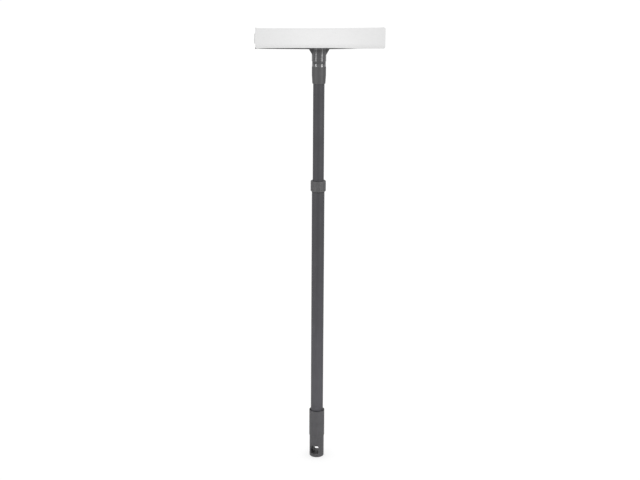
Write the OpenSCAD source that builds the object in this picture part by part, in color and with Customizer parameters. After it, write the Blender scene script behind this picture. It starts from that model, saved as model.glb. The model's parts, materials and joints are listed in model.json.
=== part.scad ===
// Telescopic window squeegee: a foam pad and a rubber blade, back to back, on a twist-lock pole.
// Millimetres. +Z runs up the pole from the middle of its foot, the foam faces -Y and the blade +Y.

/* [Pole] */
// Outside diameter of the lower tube
outer_tube_d = 25; // [24:0.5:27]
// Difference between the outside diameters of the two tubes
tube_step = 3; // [3:0.25:4]
// Wall of both tubes
tube_wall = 0.5; // [0.4:0.05:0.6]
// Height of the top of the collar above the foot
handle_l = 583.5; // [560:1:800]
// Length of upper tube that shows between the collar and the ferrule
extension = 189.5; // [150:0.5:230]
// Length of the upper tube
inner_tube_l = 500; // [450:5:520]

/* [Grip] */
// Diameter of the grip sleeve
grip_d = 31; // [29:0.1:34]
// Length of the grip sleeve
grip_l = 56; // [50:1:120]
// Diameter of the hang cap
cap_d = 29.4; // [28:0.1:30]
// Length of the hang cap below the sleeve
cap_l = 46; // [45:1:60]
// Diameter of the hole that the squeegee hangs from
hang_hole_d = 16; // [8:0.5:16]
// Height of the recess round each end of the hang hole
hang_mouth_h = 17; // [17:0.5:22]
// Height of the hang hole above the foot
hang_hole_z = 16.5; // [14:0.5:20]
// Angle by which the hang hole is turned about the pole, from facing front
cap_turn = 26; // [0:1:90]

/* [Collar and ferrule] */
// Diameter of the collar
collar_d = 30; // [29:0.5:34]
// Height of the collar
collar_l = 21.5; // [18:0.5:30]
// Number of grip flutes round the collar
flute_n = 24; // [12:2:30]
// Length of the ferrule from its lower edge to its shoulder
ferrule_l = 39; // [36:0.5:50]
// Diameter of the ferrule at its shoulder
ferrule_d = 27.2; // [26.5:0.1:28]

/* [Head] */
// Width of the foam pad
head_w = 244; // [200:2:350]
// Height of the foam pad
foam_h = 37.5; // [36:0.5:45]
// Thickness of the foam pad in front of its holder
foam_t = 24; // [20:0.5:35]
// Diameter of the neck that screws onto the pole
neck_d = 27.8; // [27:0.1:29]
// How far the rubber stands out behind its jaw
blade_reach = 19; // [12:1:25]

/* [Twist lock] */
// Travel of the wedge nut along the spindle in one turn
lock_pitch = 3; // [2:0.25:3]
// Length of the expanding sleeve
sleeve_l = 26; // [24:1:28]

/* [Hidden] */
$fn = 96;
eps = 0.01;

// Clearances: parts pushed together, parts that slide or turn
press = 0.02;
slip = 0.08;

// Radii of the tubes
outer_r = outer_tube_d / 2;
outer_bore_r = outer_r - tube_wall;
inner_r = outer_r - tube_step / 2;
inner_bore_r = inner_r - tube_wall;

// Heights, from the foot up
grip_top = cap_l + grip_l;
tube_foot = 33;
cap_plug_top = 60;
hang_web_t = 4;
bush_flange_t = 1.5;
collar_lip_t = 4.5;
outer_tube_top = handle_l - collar_lip_t - bush_flange_t;
bush_l = 30;
ferrule_z = handle_l + extension;
shoulder_z = ferrule_z + ferrule_l;
groove_l = 2.9;
head_z = shoulder_z + groove_l;
inner_tube_top = shoulder_z - 6.5;
inner_tube_foot = inner_tube_top - inner_tube_l;

// Twist lock, hung below the foot of the inner tube
spindle_flange_t = 2.5;
spindle_plug_l = 30;
spindle_r = 4;
rivet_r = 1.5;
rivet_z = inner_tube_foot + 10;
sleeve_top = inner_tube_foot - spindle_flange_t - 0.2;
sleeve_foot = sleeve_top - sleeve_l;
sleeve_r = outer_bore_r - slip;
cone_foot_r = 10;
cone_slope = 0.21;
slit_w = 1.8;
slit_h = sleeve_l - 5;
slit_n = 4;
nut_foot_l = 4;
nut_gap = 1;
nut_cone_l = sleeve_l - 8;
spindle_foot = sleeve_foot - nut_gap - nut_foot_l - lock_pitch - 1.3;
washer_t = 1.2;
stop_screw_r = 1.45;

// Threaded tip of the ferrule and the socket that it screws into
thread_pitch = 5;
thread_turns = 4;
thread_r = 10;
thread_depth = 1.1;
thread_gap = 0.15;
tip_z = head_z + 1.5;

// Head: heights
bar_z = head_z + 23.8;
foam_z = bar_z + 5.3;
mid_z = foam_z + foam_h / 2 - 3.5;
flare_z = head_z + 14.2;

// Head: the channel that grips the tail of the foam, from its lips back to its wall
holder_w = head_w - 1;
tail_w = head_w + 4;
jaw_w = head_w - 5;
blade_w = head_w - 2;
wall_y = -4;
wall_t = 3;
rear_y = wall_y + wall_t;
lip_y = -14;
lip_t = 2;
skin_t = 2;
channel_h = 19;
mouth_h = 15;
holder_h = channel_h + 2 * skin_t;
strip_t = 3;
strip_h = channel_h - 0.6;
skirt_flat = 110;
skirt_rise = 1;
flare_w = 39;
flare_t = 6;

// Head: the plate, jaw and ribs that carry the blade
shelf_t = 4;
jaw_y = 10;
jaw_t = 10;
jaw_h = 14;
slot_floor_t = 2;
slot_lip_t = 2.5;
slot_h = 8.6;
slot_mouth_h = 2.9;
blade_t = 2.5;
blade_gap = 0.2;
clip_t = 2;
clip_plug_l = 5;
clip_lip = 0.6;
rib_t = 2.2;
rib_n = 5;
rib_step = 23.5;

// Screws that hold the foam strip
screw_r = 1.45;
screw_z = mid_z + 5.6;
screw_xs = [-84, -36, 36, 84];

// Points on a circle about c, from angle a to angle b
function arc(c, r, a, b, n = 8) =
    [for (i = [0:n]) c + r * [cos(a + (b - a) * i / n), sin(a + (b - a) * i / n)]];

// A ring or a rod whose outline runs [radius, height] with the axis on the left
module turned(outline) {
    rotate_extrude() polygon(outline);
}

// A plain tube of outer radius r that stands on height z
module tube(r, bore, z, h) {
    translate([0, 0, z]) difference() {
        cylinder(r = r, h = h);
        translate([0, 0, -eps]) cylinder(r = bore, h = h + 2 * eps);
    }
}

// A solid that runs the width of the head, drawn as [y, z]
module across(w) {
    rotate([90, 0, 90]) linear_extrude(height = w, center = true) children();
}

// ---- Handle: lower tube, grip, hang cap, collar and guide bush ----

module outer_tube() {
    color("#4f4e52") tube(outer_r, outer_bore_r, tube_foot, outer_tube_top - tube_foot);
}

module grip_sleeve() {
    r = grip_d / 2;
    bore = outer_r + press;
    edge = 1;
    top_edge = 0.5;
    mouth_r = r - top_edge - 0.2;
    mouth_depth = 5;
    color("#5b5a5c") turned(concat(
        [[bore, cap_l], [r - edge, cap_l]],
        arc([r - edge, cap_l + edge], edge, -90, 0),
        arc([r - top_edge, grip_top - top_edge], top_edge, 0, 90),
        [[mouth_r, grip_top], [mouth_r, grip_top - mouth_depth + 2], [bore, grip_top - mouth_depth]]));
}

module hang_cap() {
    r = cap_d / 2;
    foot_edge = 2.2;
    step_edge = 0.8;
    lead_in = 1.5;
    seat_r = outer_r + press;
    plug_r = outer_bore_r - press;
    color("#5b5a5c") difference() {
        turned(concat(
            [[0, 0]],
            arc([r - foot_edge, foot_edge], foot_edge, -90, 0),
            arc([r - step_edge, cap_l - step_edge], step_edge, 0, 90),
            [[seat_r, cap_l], [seat_r, tube_foot], [plug_r, tube_foot],
            [plug_r, cap_plug_top - lead_in], [plug_r - lead_in, cap_plug_top], [0, cap_plug_top]]));
        rotate([0, 0, -cap_turn]) translate([0, 0, hang_hole_z]) rotate([90, 0, 0]) {
            cylinder(d = hang_hole_d, h = hang_web_t + 1, center = true);
            for (s = [-1, 1]) translate([0, 0, s * (hang_web_t + cap_d) / 2])
                linear_extrude(height = cap_d, center = true) hang_mouth();
        }
    }
}

// The recess at each end of the hang hole, a little wider than the hole itself
module hang_mouth() {
    w = hang_hole_d + 1;
    corner_r = 2.5;
    for (x = [-1, 1], z = [-1, 1])
        translate([x * (w / 2 - corner_r), z * (hang_mouth_h / 2 - corner_r)]) circle(r = corner_r);
    square([w, hang_mouth_h - 2 * corner_r], center = true);
    square([w - 2 * corner_r, hang_mouth_h], center = true);
}

module collar() {
    r = collar_d / 2;
    foot = handle_l - collar_l;
    bore = outer_r + press;
    lip_bore = inner_r + 0.25;
    top_edge = 2.2;
    foot_edge = 1.8;
    flute_r = 0.9;
    flute_depth = 0.4;
    flute_margin = 1.5;
    flute_foot = foot + foot_edge + flute_margin;
    flute_l = handle_l - top_edge - flute_margin - flute_foot;
    color("#5f5e60") difference() {
        turned(concat(
            [[bore, foot], [r - foot_edge, foot]],
            arc([r - foot_edge, foot + foot_edge], foot_edge, -90, 0),
            arc([r - top_edge, handle_l - top_edge], top_edge, 0, 90),
            [[lip_bore, handle_l], [lip_bore, handle_l - collar_lip_t], [bore, handle_l - collar_lip_t]]));
        for (i = [0:flute_n - 1]) rotate([0, 0, (i + 0.5) * 360 / flute_n])
            translate([r + flute_r - flute_depth, 0, flute_foot])
                cylinder(r = flute_r, h = flute_l, $fn = 24);
    }
}

module guide_bush() {
    color("#d8d8d4") {
        tube(outer_bore_r - press, inner_r + slip, outer_tube_top - bush_l, bush_l);
        tube(outer_r, inner_r + slip, outer_tube_top, bush_flange_t);
    }
}

// ---- Twist lock: spindle, expanding sleeve, wedge nut and stop ----

// Radial slots of width w from height z up
module slits(w, z, h, reach) {
    for (i = [0:slit_n - 1]) rotate([0, 0, i * 360 / slit_n])
        translate([0, -w / 2, z]) cube([reach, w, h]);
}

module expander_sleeve() {
    roof = 3;
    cone_l = sleeve_l - roof;
    lead = 0.6;
    bore = spindle_r + 0.3;
    color("#c9c9c6") difference() {
        turned([[bore, sleeve_top], [sleeve_r - lead, sleeve_top], [sleeve_r, sleeve_top - lead],
            [sleeve_r, sleeve_foot + lead], [sleeve_r - lead, sleeve_foot], [cone_foot_r, sleeve_foot],
            [cone_foot_r - cone_slope * cone_l, sleeve_foot + cone_l],
            [bore, sleeve_foot + cone_l]]);
        slits(slit_w, sleeve_foot - 1, slit_h + 1, outer_r);
    }
}

module wedge_nut() {
    gap = 0.12;
    cone_r = cone_foot_r - gap;
    tip_r = cone_r - cone_slope * nut_cone_l;
    foot_z = sleeve_foot - nut_gap - nut_foot_l;
    foot_r = sleeve_r - 1;
    key_w = slit_w - 0.4;
    key_z = sleeve_foot + 1;
    key_l = 12;
    key_reach = sleeve_r - 1.2;
    edge = 0.6;
    bore = spindle_r + 0.1;
    color("#3c3c3e") difference() {
        union() {
            turned([[0, foot_z], [foot_r - edge, foot_z], [foot_r, foot_z + edge],
                [foot_r, foot_z + nut_foot_l], [cone_r, foot_z + nut_foot_l],
                [cone_r, sleeve_foot], [tip_r, sleeve_foot + nut_cone_l], [0, sleeve_foot + nut_cone_l]]);
            slits(key_w, key_z, key_l, key_reach);
        }
        translate([0, 0, foot_z - 1]) cylinder(r = bore, h = nut_foot_l + nut_gap + nut_cone_l + 2);
    }
}

module lock_spindle() {
    plug_r = inner_bore_r - press;
    plug_top = inner_tube_foot + spindle_plug_l;
    flange_r = outer_bore_r - 0.4;
    lead = 1.5;
    core_r = 6;
    core_foot = inner_tube_foot + 19;
    screw_hole_l = 12;
    color("#3c3c3e") difference() {
        turned([[0, spindle_foot], [spindle_r, spindle_foot], [spindle_r, inner_tube_foot - spindle_flange_t],
            [flange_r, inner_tube_foot - spindle_flange_t], [flange_r, inner_tube_foot],
            [plug_r, inner_tube_foot], [plug_r, plug_top - lead], [plug_r - lead, plug_top], [0, plug_top]]);
        translate([0, 0, core_foot]) cylinder(r = core_r, h = spindle_plug_l);
        translate([0, 0, spindle_foot - 1]) cylinder(r = stop_screw_r, h = screw_hole_l + 1);
        rivet_hole();
    }
}

module rivet_hole() {
    translate([0, 0, rivet_z]) rotate([0, 90, 0])
        cylinder(r = rivet_r + press, h = outer_tube_d, center = true, $fn = 48);
}

module spindle_rivet() {
    head_r = 2.6;
    head_t = 0.45;
    color("#b9bbbd") translate([0, 0, rivet_z]) rotate([0, 90, 0]) {
        cylinder(r = rivet_r, h = 2 * inner_r + 0.1, center = true, $fn = 48);
        for (s = [0, 1]) mirror([0, 0, s]) translate([0, 0, inner_r + 0.02])
            cylinder(r1 = head_r, r2 = head_r - 0.5, h = head_t, $fn = 48);
    }
}

module stop_washer() {
    color("#b9bbbd") tube(6.5, stop_screw_r + 0.15, spindle_foot - washer_t, washer_t);
}

module stop_screw() {
    head_r = 2.9;
    head_t = 2.2;
    shank_l = 9;
    tip_l = 1.4;
    head_z = spindle_foot - washer_t - head_t;
    color("#b9bbbd") difference() {
        turned([[0, head_z], [head_r - 1, head_z], [head_r, head_z + 1], [head_r, head_z + head_t],
            [stop_screw_r - press, head_z + head_t], [stop_screw_r - press, spindle_foot + shank_l],
            [0, spindle_foot + shank_l + tip_l]]);
        cross_recess(head_z);
    }
}

// Two crossed slots cut upward into a screw head at height z
module cross_recess(z) {
    reach = 2.6;
    w = 0.7;
    depth = 1;
    for (a = [0, 90]) rotate([0, 0, a]) translate([-reach / 2, -w / 2, z - 1]) cube([reach, w, depth + 1]);
}

// ---- Upper pole: tube and threaded ferrule ----

module inner_tube() {
    color("#4f4e52") difference() {
        tube(inner_r, inner_bore_r, inner_tube_foot, inner_tube_l);
        rivet_hole();
    }
}

// Outline of a stack of thread ridges from height z up, on a core of radius core
function ridges(core, z) = [for (i = [0:thread_turns - 1]) let (t = z + i * thread_pitch, d = thread_depth)
    each [[core, t], [core, t + 1.2], [core + d, t + 1.9], [core + d, t + 3.1], [core, t + 3.8]]];

module pole_ferrule() {
    foot_r = inner_r + 1.6;
    r = ferrule_d / 2;
    groove_r = r - 0.7;
    edge = 1.3;
    core = thread_r - thread_depth;
    thread_top = tip_z + thread_turns * thread_pitch;
    spigot_r = inner_bore_r - press;
    spigot_foot = ferrule_z + 10;
    bore = inner_r + press;
    wall = 2.4;
    foot_edge = 0.5;
    seat_z = head_z - 0.05;
    straight_z = ferrule_z + 0.42 * ferrule_l;
    color("#5b5a5c") turned(concat(
        [[bore, ferrule_z + 0.6], [bore + 0.3, ferrule_z], [foot_r - foot_edge, ferrule_z],
        [foot_r, ferrule_z + foot_edge], [r, straight_z]],
        arc([r - edge, shoulder_z - edge], edge, 0, 90),
        [[groove_r, shoulder_z], [groove_r, seat_z], [core, seat_z]],
        ridges(core, tip_z),
        [[core, thread_top], [core - 1, thread_top + 1], [core - wall, thread_top + 1],
        [core - wall, inner_tube_top + 3], [spigot_r - wall, inner_tube_top - 1],
        [spigot_r - wall, spigot_foot], [spigot_r - 0.6, spigot_foot], [spigot_r, spigot_foot + 1],
        [spigot_r, inner_tube_top + press], [bore, inner_tube_top + press]]));
}

// ---- Head ----

// Inside of the neck: a plain entry, then thread grooves that clear the ferrule by thread_gap
module socket() {
    core = thread_r - thread_depth + thread_gap;
    thread_top = tip_z + thread_turns * thread_pitch;
    turned(concat(
        [[0, head_z - 1], [core + 1.2, head_z - 1], [core + 1.2, head_z], [core, head_z + 1.2]],
        ridges(core, tip_z),
        [[core, thread_top + 1.6], [0, thread_top + 1.6]]));
}

module neck() {
    r = neck_d / 2;
    edge = 1.2;
    boss_r = 9;
    shelf_z = mid_z - shelf_t / 2;
    under_z = mid_z - holder_h / 2;
    turned(concat([[0, head_z]], arc([r - edge, head_z + edge], edge, -90, 0),
        [[r, under_z + 1], [0, under_z + 1]]));
    intersection() {
        turned([[0, under_z], [r, under_z], [boss_r, shelf_z + 1], [0, shelf_z + 1]]);
        translate([-r, rear_y - 1, under_z - 1]) cube([2 * r, 2 * r, holder_h]);
    }
}

// Wings that widen the neck up to the foot of the bar
module flare() {
    r = neck_d / 2;
    top = bar_z + 3;
    translate([0, rear_y - wall_t / 2 + flare_t / 2, 0]) rotate([90, 0, 0]) linear_extrude(height = flare_t)
        polygon([[-r + 1, flare_z - 1.5], [r - 1, flare_z - 1.5], [r, flare_z], [flare_w / 2, bar_z],
            [flare_w / 2, top], [-flare_w / 2, top], [-flare_w / 2, bar_z], [-r, flare_z]]);
}

// Outside of the jaw, [y, z], with its corners cut off; grow makes it larger all round
module jaw_outline(grow) {
    g = grow;
    root_cut = 1.5;
    nose_cut = 3;
    translate([jaw_y, mid_z - jaw_h / 2]) polygon([[-g, root_cut], [root_cut, -g], [jaw_t - nose_cut, -g],
        [jaw_t + g, nose_cut], [jaw_t + g, jaw_h - nose_cut], [jaw_t - nose_cut, jaw_h + g],
        [root_cut, jaw_h + g], [-g, jaw_h - root_cut]]);
}

// The slot that holds the bead of the blade; cut makes it smaller all round
module jaw_slot(cut) {
    translate([jaw_y + slot_floor_t + cut, mid_z - slot_h / 2 + cut])
        square([jaw_t - slot_floor_t - slot_lip_t - 2 * cut, slot_h - 2 * cut]);
}

// The channel that holds the foam's tail, [y, z]: a wall, two skins and two lips
module holder_section() {
    lip_h = (holder_h - mouth_h) / 2;
    translate([wall_y, mid_z - holder_h / 2]) square([wall_t, holder_h]);
    for (s = [-1, 1]) {
        translate([lip_y, mid_z + s * (channel_h + skin_t) / 2 - skin_t / 2])
            square([wall_y - lip_y + 1, skin_t]);
        translate([lip_y, mid_z + s * (mouth_h + lip_h) / 2 - lip_h / 2]) square([lip_t, lip_h]);
    }
}

// The shelf behind the wall and the jaw at its end, [y, z]
module jaw_section() {
    translate([rear_y - 1, mid_z - shelf_t / 2]) square([jaw_y - rear_y + 2, shelf_t]);
    difference() {
        jaw_outline(0);
        jaw_slot(0);
        translate([jaw_y + slot_floor_t + 1, mid_z - slot_mouth_h / 2]) square([jaw_t, slot_mouth_h]);
    }
}

// The wall's lower part, whose foot rises towards the ends of the bar
module skirt() {
    top = mid_z - holder_h / 2 + 1;
    w = holder_w / 2;
    translate([0, rear_y, 0]) rotate([90, 0, 0]) linear_extrude(height = wall_t)
        polygon([[-w, top], [-w, bar_z + skirt_rise], [-skirt_flat / 2, bar_z], [skirt_flat / 2, bar_z],
            [w, bar_z + skirt_rise], [w, top]]);
}

// A web between the wall and the jaw
module rib() {
    top = mid_z + holder_h / 2 - 1;
    foot = bar_z + skirt_rise + 0.5;
    across(rib_t) polygon([[rear_y - 0.5, foot], [rear_y + 2, foot], [jaw_y + 0.5, mid_z - jaw_h / 2 + 1.5],
        [jaw_y + 0.5, mid_z + jaw_h / 2 - 1.5], [rear_y + 3, top], [rear_y - 0.5, top]]);
}

module head_body() {
    color("#4b4a4c") difference() {
        union() {
            across(holder_w) holder_section();
            across(jaw_w) jaw_section();
            skirt();
            neck();
            flare();
            for (s = [-1, 1], i = [1:rib_n]) translate([s * i * rib_step, 0, 0]) rib();
        }
        socket();
        for (x = screw_xs) screw_hole(x);
    }
}

module screw_hole(x) {
    translate([x, rear_y + 1, screw_z]) rotate([90, 0, 0])
        cylinder(r = screw_r + press, h = wall_t + strip_t + 2, $fn = 48);
}

module strip_screws() {
    head_r = 2.9;
    head_t = 2;
    shank_l = wall_t + strip_t;
    color("#b9bbbd") for (x = screw_xs) translate([x, rear_y, screw_z]) rotate([90, 0, 0]) difference() {
        turned([[0, -head_t], [head_r - 1, -head_t], [head_r, 1 - head_t], [head_r, 0],
            [screw_r, 0], [screw_r, shank_l - 1], [0, shank_l - 0.3]]);
        cross_recess(-head_t);
    }
}

module foam_strip() {
    color("#dcdcd8") difference() {
        translate([-holder_w / 2, wall_y - strip_t - press, mid_z - strip_h / 2])
            cube([holder_w, strip_t, strip_h]);
        for (x = screw_xs) screw_hole(x);
    }
}

module foam_pad() {
    front_y = lip_y - press - foam_t;
    tail_y = lip_y + lip_t + press;
    tail_back = wall_y - strip_t - 2 * press;
    neck_h = mouth_h - 2 * press;
    color("#f0f0ee") {
        translate([-head_w / 2, front_y, foam_z]) cube([head_w, foam_t, foam_h]);
        translate([-head_w / 2, lip_y - 1, mid_z - neck_h / 2])
            cube([head_w, tail_y - lip_y + 2, neck_h]);
        translate([-tail_w / 2, tail_y, mid_z - strip_h / 2])
            cube([tail_w, tail_back - tail_y, strip_h]);
    }
}

// The rubber, [y, z]: a bead in the jaw and a flat lip that is full width outside the end clips
module squeegee_blade() {
    root_y = jaw_y + slot_floor_t + blade_gap;
    out_y = jaw_y + jaw_t + clip_lip + blade_gap;
    tip_y = jaw_y + jaw_t + blade_reach;
    held_w = jaw_w - 2 * (clip_plug_l + blade_gap);
    color("#1f1f20") {
        across(held_w) jaw_slot(blade_gap);
        across(held_w) translate([root_y, mid_z - blade_t / 2]) square([out_y + 1 - root_y, blade_t]);
        across(blade_w) translate([out_y, mid_z - blade_t / 2]) square([tip_y - out_y, blade_t]);
    }
}

// End clip of the jaw on the +X side
module blade_clip() {
    translate([jaw_w / 2 + clip_t / 2 + eps, 0, 0]) across(clip_t) jaw_outline(clip_lip);
    translate([jaw_w / 2 - clip_plug_l / 2 + eps, 0, 0]) across(clip_plug_l + 2 * eps)
        jaw_slot(blade_gap / 2);
}

module blade_clip_left() {
    color("#3c3c3e") mirror([1, 0, 0]) blade_clip();
}

module blade_clip_right() {
    color("#3c3c3e") blade_clip();
}

outer_tube();
grip_sleeve();
hang_cap();
collar();
guide_bush();
expander_sleeve();
wedge_nut();
inner_tube();
lock_spindle();
spindle_rivet();
stop_washer();
stop_screw();
pole_ferrule();
head_body();
foam_strip();
strip_screws();
foam_pad();
squeegee_blade();
blade_clip_left();
blade_clip_right();
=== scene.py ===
"""Telescopic window squeegee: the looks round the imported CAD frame.

Metres. +Z runs up the pole and the foam faces -Y.
"""
import json
import math

import bmesh
import bpy
from mathutils import Matrix, Vector, noise


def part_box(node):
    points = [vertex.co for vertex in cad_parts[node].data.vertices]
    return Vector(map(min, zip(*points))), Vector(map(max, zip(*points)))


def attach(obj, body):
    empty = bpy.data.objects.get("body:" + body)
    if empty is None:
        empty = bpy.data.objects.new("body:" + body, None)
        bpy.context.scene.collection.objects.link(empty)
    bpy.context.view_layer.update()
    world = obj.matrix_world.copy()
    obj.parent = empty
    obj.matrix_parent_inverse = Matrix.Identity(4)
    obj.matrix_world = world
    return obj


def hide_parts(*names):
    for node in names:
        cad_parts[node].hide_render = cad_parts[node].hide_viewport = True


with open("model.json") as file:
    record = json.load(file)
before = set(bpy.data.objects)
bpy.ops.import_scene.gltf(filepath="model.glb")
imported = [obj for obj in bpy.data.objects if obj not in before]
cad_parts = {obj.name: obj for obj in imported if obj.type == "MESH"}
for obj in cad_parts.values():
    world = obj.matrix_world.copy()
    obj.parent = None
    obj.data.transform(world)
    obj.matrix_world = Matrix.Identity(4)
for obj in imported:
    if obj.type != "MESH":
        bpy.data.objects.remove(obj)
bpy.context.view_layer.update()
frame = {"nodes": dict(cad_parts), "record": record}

MM = 0.001

# foam block
FOAM_STEP = 1.1 * MM      # size of its mesh's squares
FOAM_EDGE = 1.6 * MM      # radius of its cut edges
FOAM_DIP = 2.0 * MM       # how far its top sinks between the corners
TOP_LEAN = 1.0 * MM       # how much less it sinks on the right
EAR_W = 3.0 * MM          # width of the corners that stand up
FOOT_ARCH = 0.35 * MM     # how far its foot lifts off the bar
FOAM_SAG = 1.7 * MM       # how far its foot hangs lower on the right
SAG_FULL = 0.57           # the sag is full from this part of the way to the right end
END_SAG = 1.3 * MM        # how far it hangs lower at the left end
END_SAG_W = 10 * MM       # width over which that fades
CORNER_R = 3.2 * MM       # radius of its lower front corners
CORNER_BACK = 0.6         # behind this part of the half depth those corners stay square
FACE_FROM = 0.6           # in front of this part of the half depth the face is crowned
FACE_CROWN = 0.5 * MM     # how far the face falls back at its top and foot
SEAM_H = 3.8 * MM         # height of the pressed seam above its foot
SEAM_W = 0.8 * MM
SEAM_DEPTH = 0.7 * MM
GRAIN = ((0.10 * MM, 230), (0.10 * MM, 520), (0.15 * MM, 60))  # depth and fineness of its skin
WELD = 0.02 * MM          # points closer than this are one point

# the foam's neck and tail, which the head's channel grips
TAIL_OVERHANG = 2.0 * MM  # the tail is this much longer than the block at each end
TAIL_EDGE = 1.2 * MM
NECK_EDGE = 0.8 * MM
NECK_IN = 1.6             # the neck reaches this many lip thicknesses past the lips' face
LIP_T = 2.0 * MM          # thickness of the holder's lips
MOUTH_H = 14.9 * MM       # gap between them
GAP = 0.06 * MM

# painted shade and polish on the hard pieces
RING_W = 2.4 * MM         # height of the painted shadow line below the collar
NECK_H = 23.8 * MM        # from the neck's lower end to the bar's underside
PAINTED_SHADE_H = 8 * MM           # height of the painted shade below the bar
BAND_DROP = 2.9 * MM      # from the neck's lower end to the top of the ferrule's polished band
BAND_H = 6.4 * MM         # height of that band

# bevel widths of the moulded CAD nodes that have sharp edges
BEVELS = {
    "head_body": 0.3 * MM,
    "foam_strip": 0.3 * MM,
    "squeegee_blade": 0.12 * MM,
    "blade_clip_left": 0.25 * MM,
    "blade_clip_right": 0.25 * MM,
}

FLAT_ANGLE = 1            # degrees; faces that meet at less are one face to the bevel
SHARP_ANGLE = 40          # degrees; edges sharper than this get the bevel

TUBE_COLOUR = (0.037, 0.036, 0.042)
# nodes with a material of their own; the others take their slot's
OWN_LOOK = {"pole_ferrule": "ferrule_plastic", "outer_tube": "lower_paint"}

# ---------------------------------------------------------------- camera

CAM_AZ = -5.0          # degrees; the camera stands a little to the left of the foam's normal
CAM_PITCH = 15.0       # degrees down
CAM_ROLL = 0.38        # degrees
CAM_DIST = 2.380
CAM_F_PX = 1200.0
AIM_Z = 0.4626
AIM_RIGHT = 0.0042
IMAGE_W_PX = 640.0
SENSOR = 36.0
CLIP = (0.05, 50.0)


def around(az, el, dist=1.0):
    """A point seen from the pole at azimuth az and elevation el."""
    a, e = math.radians(az), math.radians(el)
    return Vector((math.sin(a) * math.cos(e), -math.cos(a) * math.cos(e), math.sin(e))) * dist


def link(obj):
    bpy.context.scene.collection.objects.link(obj)
    return obj


def make_camera():
    data = bpy.data.cameras.new("camera")
    data.sensor_width = SENSOR
    data.lens = CAM_F_PX / IMAGE_W_PX * SENSOR
    data.clip_start, data.clip_end = CLIP
    cam = link(bpy.data.objects.new("camera", data))
    back = around(CAM_AZ, CAM_PITCH)
    aim = Vector((0, 0, AIM_Z)) + around(CAM_AZ + 90, 0) * AIM_RIGHT
    rot = (-back).to_track_quat("-Z", "Y").to_matrix()
    rot = rot @ Matrix.Rotation(math.radians(CAM_ROLL), 3, "Z")
    cam.matrix_world = Matrix.Translation(aim + back * CAM_DIST) @ rot.to_4x4()
    bpy.context.scene.camera = cam


# ---------------------------------------------------------------- stage and light

FLOOR_HALF = 40.0
FLOOR_GREY = 0.5
FLOOR_GLOW = 0.54                       # lifts the floor to the photo's white
STRIPS = (("strip_left", CAM_AZ - 50, 50), ("strip_right", CAM_AZ + 49, 66))  # azimuth, watts
STRIP_DIST = 2.5
STRIP_Z = 1.5
STRIP_SIZE = (0.8, 2.96)
FILL_DIST = 1.6                         # the weak lamp that lights the foot
FILL_Z = 0.12
FILL_SIZE = (0.9, 0.24)
FILL_POWER = 0.75
FILL_SPREAD = 20                        # degrees


def area_light(name, loc, target, power, size):
    data = bpy.data.lights.new(name, "AREA")
    data.energy = power
    data.shape = "RECTANGLE"
    data.size, data.size_y = size
    obj = link(bpy.data.objects.new(name, data))
    obj.location = loc
    obj.rotation_euler = (Vector(target) - Vector(loc)).to_track_quat("-Z", "Y").to_euler()
    obj.visible_camera = False
    return obj


def make_stage():
    corners = ((-1, -1), (1, -1), (1, 1), (-1, 1))
    mesh = bpy.data.meshes.new("floor")
    mesh.from_pydata([(x * FLOOR_HALF, y * FLOOR_HALF, 0) for x, y in corners], [], [(0, 1, 2, 3)])
    floor = link(bpy.data.objects.new("floor", mesh))
    mat = bpy.data.materials.new("stage_white")
    mat.use_nodes = True
    sockets = mat.node_tree.nodes["Principled BSDF"].inputs
    sockets["Base Color"].default_value = (FLOOR_GREY, FLOOR_GREY, FLOOR_GREY, 1)
    sockets["Roughness"].default_value = 1.0
    sockets["Emission Color"].default_value = (1, 1, 1, 1)
    sockets["Specular IOR Level"].default_value = 0.0
    sockets["Emission Strength"].default_value = FLOOR_GLOW
    mesh.materials.append(mat)


def make_light():
    world = bpy.data.worlds.new("studio")
    bpy.context.scene.world = world
    world.use_nodes = True
    back = world.node_tree.nodes["Background"]
    back.inputs["Color"].default_value = (1, 1, 1, 1)
    back.inputs["Strength"].default_value = 1.0
    for name, az, power in STRIPS:
        loc = around(az, 0, STRIP_DIST) + Vector((0, 0, STRIP_Z))
        strip = area_light(name, loc, (0, 0, STRIP_Z), power, STRIP_SIZE)
        strip.visible_diffuse = False
    loc = around(CAM_AZ, 0, FILL_DIST) + Vector((0, 0, FILL_Z))
    fill = area_light("low_fill", loc, (0, 0, FILL_Z), FILL_POWER, FILL_SIZE)
    fill.data.spread = math.radians(FILL_SPREAD)
    fill.visible_glossy = False
    view = bpy.context.scene.view_settings
    view.view_transform = "Standard"
    view.look = "None"


# ---------------------------------------------------------------- materials

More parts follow.
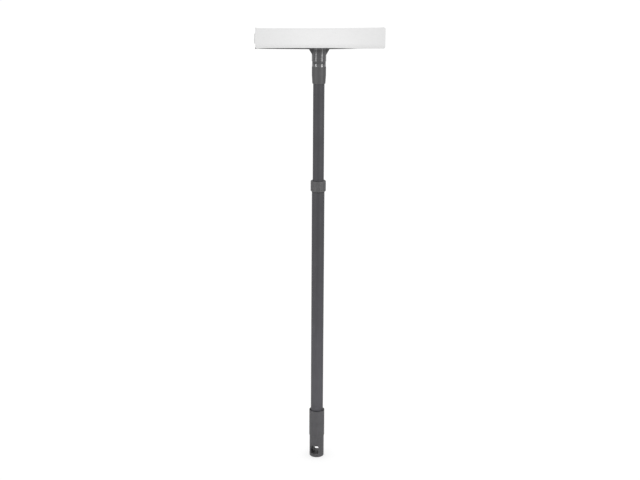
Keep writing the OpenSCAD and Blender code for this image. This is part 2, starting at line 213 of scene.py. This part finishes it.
class Look:
    """A material, and short calls that add procedural nodes to it, in object coordinates."""

    def __init__(self, name, colour, rough, spec=0.5):
        self.mat = bpy.data.materials.new(name)
        self.mat.use_nodes = True
        self.tree = self.mat.node_tree
        self.bsdf = self.tree.nodes["Principled BSDF"]
        self.bsdf.inputs["Roughness"].default_value = rough
        self.bsdf.inputs["Specular IOR Level"].default_value = spec
        self.bsdf.inputs["Base Color"].default_value = (*colour, 1)
        self.coord = self.tree.nodes.new("ShaderNodeTexCoord").outputs["Object"]

    def put(self, socket, value):
        if isinstance(value, bpy.types.NodeSocket):
            self.tree.links.new(value, socket)
        elif isinstance(value, (tuple, list)) and len(value) == 3 and socket.type == "RGBA":
            socket.default_value = (*value, 1)
        else:
            socket.default_value = value

    def set(self, name, value):
        self.put(self.bsdf.inputs[name], value)

    def axis(self, name):
        n = self.tree.nodes.new("ShaderNodeSeparateXYZ")
        self.put(n.inputs[0], self.coord)
        return n.outputs[name]

    def scaled(self, scale):
        n = self.tree.nodes.new("ShaderNodeMapping")
        self.put(n.inputs["Vector"], self.coord)
        n.inputs["Scale"].default_value = scale
        return n.outputs[0]

    def noise(self, scale, detail=2.0, rough=0.5, stretch=(1, 1, 1)):
        n = self.tree.nodes.new("ShaderNodeTexNoise")
        self.put(n.inputs["Vector"], self.scaled(stretch))
        n.inputs["Scale"].default_value = scale
        n.inputs["Detail"].default_value = detail
        n.inputs["Roughness"].default_value = rough
        return n.outputs["Fac"]

    def cells(self, scale):
        n = self.tree.nodes.new("ShaderNodeTexVoronoi")
        self.put(n.inputs["Vector"], self.scaled((1, 1, 1)))
        n.inputs["Scale"].default_value = scale
        return n.outputs["Distance"]

    def span(self, value, lo, hi, out_lo=0.0, out_hi=1.0):
        n = self.tree.nodes.new("ShaderNodeMapRange")
        n.clamp = True
        n.inputs["From Min"].default_value, n.inputs["From Max"].default_value = lo, hi
        n.inputs["To Min"].default_value, n.inputs["To Max"].default_value = out_lo, out_hi
        self.put(n.inputs["Value"], value)
        return n.outputs["Result"]

    def maths(self, op, a, b=0.0):
        n = self.tree.nodes.new("ShaderNodeMath")
        n.operation = op
        self.put(n.inputs[0], a)
        self.put(n.inputs[1], b)
        return n.outputs[0]

    def blend(self, fac, a, b):
        n = self.tree.nodes.new("ShaderNodeMix")
        n.data_type = "RGBA"
        self.put(n.inputs["Factor"], fac)
        self.put([s for s in n.inputs if s.name == "A" and s.type == "RGBA"][0], a)
        self.put([s for s in n.inputs if s.name == "B" and s.type == "RGBA"][0], b)
        return [s for s in n.outputs if s.type == "RGBA"][0]

    def bump(self, height, distance, strength=1.0):
        n = self.tree.nodes.new("ShaderNodeBump")
        n.inputs["Distance"].default_value = distance
        n.inputs["Strength"].default_value = strength
        self.put(n.inputs["Height"], height)
        if self.bsdf.inputs["Normal"].links:
            self.put(n.inputs["Normal"], self.bsdf.inputs["Normal"].links[0].from_socket)
        self.set("Normal", n.outputs["Normal"])


def shade(colour, k):
    """The colour k times as bright."""
    return tuple(c * k for c in colour)


def tube_paint(name, colour, shadow_ring_z=None):
    """Powder coat on drawn steel tube: orange peel, a fine fleck, and faint rub marks along it.

    Given a height, a dark line of painted shadow runs round the tube just below it.
    """
    m = Look(name, colour, 0.62, 0.4)
    tone = m.blend(m.span(m.noise(14, 3), 0.38, 0.62), shade(colour, 0.91), shade(colour, 1.07))
    fleck = m.span(m.noise(2200, 1), 0.56, 0.7, 0, 0.45)
    tone = m.blend(fleck, tone, shade(colour, 1.5))
    rub = m.span(m.noise(900, 3, 0.6, (1, 1, 0.012)), 0.55, 0.68, 0, 0.25)
    tone = m.blend(rub, tone, shade(colour, 1.7))
    # painted shadow: a dark, broken line round the tube just below the collar
    if shadow_ring_z:
        below = m.span(m.axis("Z"), shadow_ring_z - RING_W, shadow_ring_z - 0.5 * RING_W)
        painted_shade = m.maths("MULTIPLY", below, m.span(m.noise(300, 2), 0.35, 0.6, 0.55, 0.95))
        tone = m.blend(painted_shade, tone, shade(colour, 0.25))
    m.set("Base Color", tone)
    m.set("Sheen Weight", 0.07)
    m.set("Sheen Roughness", 0.4)
    m.set("Roughness", m.span(m.noise(60, 3), 0.3, 0.7, 0.58, 0.68))
    m.bump(m.noise(750, 2), 0.00009, 0.8)
    return m.mat


def moulded(name, colour, rough, grain=1500, depth=0.00008, coat=0.0, painted_shade_z=None):
    """Injection-moulded plastic: spark-eroded grain, cloudy gloss and a few light scuffs.

    Given a height, painted shade darkens the plastic just below it.
    """
    m = Look(name, colour, rough)
    tone = m.blend(m.span(m.noise(55, 4), 0.36, 0.64), shade(colour, 0.89), shade(colour, 1.08))
    scuff = m.span(m.noise(420, 4, 0.7, (1, 0.25, 0.25)), 0.56, 0.7, 0, 0.35)
    tone = m.blend(scuff, tone, shade(colour, 1.6))
    # painted shade: the plastic grows darker towards the given height, the bar's underside
    if painted_shade_z:
        z = m.axis("Z")
        below = m.span(z, painted_shade_z - PAINTED_SHADE_H, painted_shade_z - 1 * MM, 0, 0.95)
        painted_shade = m.maths("MULTIPLY", below, m.span(z, painted_shade_z - 0.1 * MM, painted_shade_z, 1, 0))
        tone = m.blend(painted_shade, tone, shade(colour, 0.1))
    m.set("Base Color", tone)
    cloud = m.span(m.noise(130, 3), 0.3, 0.7, rough - 0.05, rough + 0.06)
    m.set("Roughness", m.maths("ADD", cloud, m.maths("MULTIPLY", scuff, 0.4)))
    m.bump(m.noise(grain, 2), depth, 0.7)
    m.bump(m.noise(35, 1), 0.0002, 0.15)
    if coat:
        m.set("Coat Weight", coat)
        m.set("Coat Roughness", 0.07)
    return m.mat


def ferrule_look(name, colour):
    """The ferrule's plastic: grained like the rest, with a polished band round its upper rim."""
    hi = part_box("head_body")[0].z - BAND_DROP
    lo = hi - BAND_H
    m = Look(name, colour, 0.45)
    z = m.axis("Z")
    polish = m.maths("MULTIPLY", m.span(z, lo, lo + 0.8 * MM),
                     m.span(z, hi - 0.2 * MM, hi + 0.1 * MM, 1, 0))
    tone = m.blend(m.span(m.noise(55, 4), 0.3, 0.7), shade(colour, 0.92), shade(colour, 1.08))
    m.set("Base Color", tone)
    m.set("Roughness", m.span(polish, 0, 1, 0.58, 0.16))
    m.set("Coat Weight", polish)
    m.set("Coat Roughness", 0.1)
    grain = m.maths("MULTIPLY", m.noise(1900, 2), m.span(polish, 0, 1, 1, 0.15))
    m.bump(grain, 0.00003, 0.7)
    return m.mat


def foam_look(name, colour):
    """Fine open-cell foam: dark pores between pale struts, slightly uneven in tone, with painted
    shade towards its ends and its foot.
    """
    m = Look(name, colour, 0.95, 0.15)
    pore = m.span(m.cells(1150), 0.15, 0.75)
    fine = m.span(m.noise(2600, 2), 0.35, 0.65)
    tone = m.blend(m.span(m.noise(28, 3), 0.3, 0.7), shade(colour, 0.985), shade(colour, 1.01))
    # painted shade: a little darker towards both ends
    end = m.span(m.maths("ABSOLUTE", m.axis("X")), 0.03, 0.12, 0, 0.7)
    tone = m.blend(end, tone, shade(colour, 0.88))
    # painted shade: the foot of the pad is a little darker
    foot_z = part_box("foam_pad")[0].z
    foot = m.span(m.axis("Z"), foot_z + 1 * MM, foot_z + 9 * MM, 0.55, 0)
    tone = m.blend(foot, tone, shade(colour, 0.82))
    pit = m.span(m.cells(1150), 0.0, 0.3, 0.4, 0)
    m.set("Base Color", m.blend(pit, tone, shade(colour, 0.72)))
    m.set("Sheen Weight", 0.15)
    m.set("Sheen Roughness", 0.6)
    m.bump(pore, 0.00025, 0.5)
    m.bump(fine, 0.00008, 0.4)
    return m.mat


def rubber_look(name, colour):
    """Pressed rubber strip: matt, with lines along its length and a little pale bloom."""
    m = Look(name, colour, 0.55, 0.35)
    bloom = m.span(m.noise(70, 5, 0.6), 0.5, 0.8, 0, 0.25)
    m.set("Base Color", m.blend(bloom, colour, shade(colour, 3.2)))
    m.set("Roughness", m.span(m.noise(200, 3), 0.3, 0.7, 0.48, 0.66))
    m.bump(m.noise(1500, 2, 0.5, (0.02, 1, 1)), 0.00003, 0.6)
    return m.mat


def zinc_look(name, colour):
    """Zinc-plated steel: bright, with a faint mottle."""
    m = Look(name, colour, 0.34)
    m.set("Metallic", 1.0)
    mottle = m.span(m.noise(900, 3), 0.3, 0.7)
    m.set("Base Color", m.blend(mottle, shade(colour, 0.85), shade(colour, 1.05)))
    m.set("Roughness", m.span(m.noise(1600, 2), 0.3, 0.7, 0.26, 0.42))
    m.bump(m.noise(3000, 2), 0.00001, 0.5)
    return m.mat


def make_looks():
    neck_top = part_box("head_body")[0].z + NECK_H
    collar_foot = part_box("collar")[0].z
    return {
        "tube_paint": tube_paint("tube_paint", TUBE_COLOUR),
        "lower_paint": tube_paint("lower_paint", TUBE_COLOUR, shadow_ring_z=collar_foot),
        "pole_plastic": moulded("pole_plastic", (0.034, 0.033, 0.036), 0.52),
        "collar_plastic": moulded("collar_plastic", (0.061, 0.060, 0.063), 0.5),
        "head_plastic": moulded("head_plastic", (0.046, 0.045, 0.048), 0.27, depth=0.00004,
                                coat=0.34, painted_shade_z=neck_top),
        "ferrule_plastic": ferrule_look("ferrule_plastic", (0.051, 0.050, 0.053)),
        "inner_plastic": moulded("inner_plastic", (0.022, 0.022, 0.023), 0.5),
        "pale_plastic": moulded("pale_plastic", (0.72, 0.72, 0.70), 0.5),
        "zinc_steel": zinc_look("zinc_steel", (0.62, 0.63, 0.64)),
        "blade_rubber": rubber_look("blade_rubber", (0.016, 0.016, 0.017)),
        "foam": foam_look("foam", (0.85, 0.85, 0.85)),
    }


# ---------------------------------------------------------------- foam pad

def rounded(p, half, r):
    """Point p of a box of half sizes half, moved onto that box with its edges rounded to r."""
    core = Vector([max(-(h - r), min(h - r, c)) for c, h in zip(p, half)])
    out = p - core
    return core + out.normalized() * r if out.length > 1e-9 else p


def grid_box(half, step):
    """A closed quad box round the origin, divided about every step."""
    bm = bmesh.new()
    verts = {}
    n = [max(2, round(2 * h / step)) for h in half]

    def vert(i, j, k):
        key = (i, j, k)
        if key not in verts:
            verts[key] = bm.verts.new([-h + 2 * h * c / m for h, c, m in zip(half, key, n)])
        return verts[key]

    for axis in range(3):
        u, v = (axis + 1) % 3, (axis + 2) % 3
        for side in (0, n[axis]):
            for a in range(n[u]):
                for b in range(n[v]):
                    quad = []
                    for da, db in ((0, 0), (1, 0), (1, 1), (0, 1)):
                        key = [0, 0, 0]
                        key[axis], key[u], key[v] = side, a + da, b + db
                        quad.append(vert(*key))
                    bm.faces.new(quad if side else quad[::-1])
    return bm


def block_shape(p, half):
    """Moves point p of the foam block from the plain rounded box to the used foam's outline."""
    depth = p.y / half.y
    up = p.z / half.z
    right = max(0.0, p.x) / half.x
    from_end = half.x - abs(p.x)
    ear = math.exp(-from_end / EAR_W)
    above_foot = p.z + half.z
    # the top sinks between the corners, less so on the right
    if up > 0:
        p.z -= up * (FOAM_DIP - TOP_LEAN * right) * (1 - ear)
    # the lower front corners are rounded off
    if above_foot < CORNER_R:
        inset = CORNER_R - math.sqrt(CORNER_R ** 2 - (CORNER_R - above_foot) ** 2)
        front = min(1.0, max(0.0, CORNER_BACK - depth))
        p.x -= math.copysign(inset * front * max(0.0, 1 - from_end / (2 * CORNER_R)), p.x)
    # the foot lifts off the bar, and sags over it on the right and at the left end
    if up < 0:
        sag = FOAM_SAG * min(1.0, (right / SAG_FULL) ** 2)
        if p.x < 0:
            sag += END_SAG * math.exp(-from_end / END_SAG_W)
        p.z += up * (sag - FOOT_ARCH)
    # crowned face with the seam pressed in near the foot
    if -depth > FACE_FROM:
        p.y += FACE_CROWN * up * up
        p.y += SEAM_DEPTH * math.exp(-((above_foot - SEAM_H) / SEAM_W) ** 2) * -depth
    return p


def foam_grain(p):
    """How far the cut foam's surface stands out or in at point p."""
    return sum(depth * noise.noise(p * fineness) for depth, fineness in GRAIN)


def smooth_object(name, bm):
    """A smooth-shaded object made from bm, which is freed."""
    for f in bm.faces:
        f.smooth = True
    mesh = bpy.data.meshes.new(name)
    bm.to_mesh(mesh)
    bm.free()
    return link(bpy.data.objects.new(name, mesh))


def foam_box(name, lo, hi, step, radius, used=False):
    """A closed rounded box of foam from corner lo to hi; used gives it the worn block's outline."""
    half, centre = (hi - lo) / 2, (hi + lo) / 2
    bm = grid_box(half, step)
    for v in bm.verts:
        p = rounded(v.co.copy(), half, radius)
        out = Vector([c / h for c, h in zip(p, half)]).normalized()
        if used:
            p = block_shape(p, half)
        v.co = p + centre
        v.co += out * foam_grain(v.co)
    return smooth_object(name, bm)


def join(whole, extra):
    """Adds the closed mesh extra to the closed mesh whole, as one clean skin."""
    mod = whole.modifiers.new("join", "BOOLEAN")
    mod.operation, mod.solver, mod.object = "UNION", "EXACT", extra
    graph = bpy.context.evaluated_depsgraph_get()
    mesh = bpy.data.meshes.new_from_object(whole.evaluated_get(graph))
    bm = bmesh.new()
    bm.from_mesh(mesh)
    bmesh.ops.triangulate(bm, faces=[f for f in bm.faces if len(f.verts) > 4])
    bmesh.ops.remove_doubles(bm, verts=bm.verts, dist=WELD)
    bmesh.ops.dissolve_degenerate(bm, edges=bm.edges, dist=WELD)
    bm.to_mesh(mesh)
    bm.free()
    whole.modifiers.clear()
    whole.data = mesh
    bpy.data.objects.remove(extra)


def make_foam(look):
    """The foam: a used block with a pressed seam, and the neck and tail that its holder grips."""
    lo, hi = (Vector(c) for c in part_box("foam_pad"))
    strip_lo, strip_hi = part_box("foam_strip")
    lip_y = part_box("head_body")[0].y
    mid_z = (strip_lo.z + strip_hi.z) / 2
    left, right = lo.x + TAIL_OVERHANG, hi.x - TAIL_OVERHANG
    block = foam_box("foam_block",
                     Vector((left, lo.y, lo.z)),
                     Vector((right, lip_y - GAP, hi.z)),
                     FOAM_STEP, FOAM_EDGE, used=True)
    neck = foam_box("neck",
                    Vector((left, lip_y - LIP_T, mid_z - MOUTH_H / 2)),
                    Vector((right, lip_y + NECK_IN * LIP_T, mid_z + MOUTH_H / 2)),
                    2 * FOAM_STEP, NECK_EDGE)
    tail = foam_box("tail",
                    Vector((lo.x, lip_y + LIP_T + GAP, strip_lo.z)),
                    Vector((hi.x, hi.y, strip_hi.z)),
                    2 * FOAM_STEP, TAIL_EDGE)
    join(block, neck)
    join(block, tail)
    block.data.materials.clear()
    block.data.materials.append(look)
    return block


def soften(name, width):
    """Breaks the sharp edges of a CAD node with a small bevel, by modifiers only."""
    node = frame["nodes"][name]
    weld = node.modifiers.new("weld", "WELD")
    weld.merge_threshold = WELD / 2
    flat = node.modifiers.new("flat", "DECIMATE")
    flat.decimate_type = "DISSOLVE"
    flat.angle_limit = math.radians(FLAT_ANGLE)
    bevel = node.modifiers.new("edges", "BEVEL")
    bevel.width = width
    bevel.segments = 2
    bevel.limit_method = "ANGLE"
    bevel.angle_limit = math.radians(SHARP_ANGLE)
    bevel.use_clamp_overlap = True
    bevel.harden_normals = True


# ---------------------------------------------------------------- build

make_camera()
make_stage()
make_light()
looks = make_looks()

slot_of = {s["node"]: s["material_slot"] for s in frame["record"]["subparts"]}
for name, node in frame["nodes"].items():
    node.data.materials.clear()
    node.data.materials.append(looks[OWN_LOOK.get(name, slot_of[name])])

for name, width in BEVELS.items():
    soften(name, width)

foam = make_foam(looks["foam"])
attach(foam, "upper_pole")
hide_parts("foam_pad")
